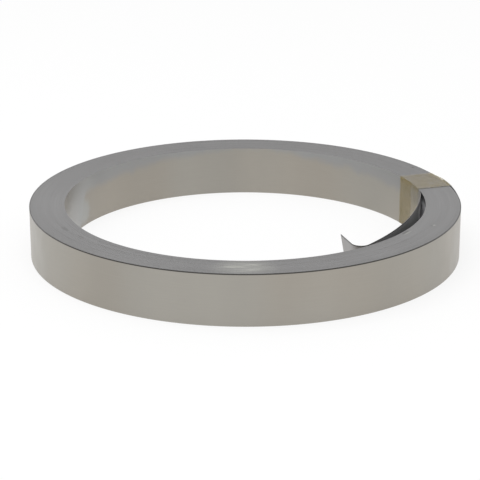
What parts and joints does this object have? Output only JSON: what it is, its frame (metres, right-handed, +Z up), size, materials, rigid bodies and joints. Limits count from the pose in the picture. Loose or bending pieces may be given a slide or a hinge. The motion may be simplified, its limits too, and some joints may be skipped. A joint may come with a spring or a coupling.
{
  "type": "nickel plated strip roll",
  "caption": "Tight flat-wound roll of thin nickel plated steel strip with an open bore, a sprung hooked inner tail and one band of clear adhesive tape.",
  "frame": {"origin": "on the roll's axis at its lower end face, which is what it lies on", "axes": "+Z up along the roll's axis; +X and +Y in the plane of the end face, with the tape at 18 degrees from +X towards +Y"},
  "size_m": [0.17, 0.17, 0.0202],
  "materials": {
    "nickel_plated_strip": "satin, nickel plated",
    "adhesive_tape": "clear film with aged, slightly yellow adhesive"
  },
  "bodies": {
    "root": {"strip_coil": "nickel_plated_strip", "tape_band": "adhesive_tape"}
  },
  "joints": []
}
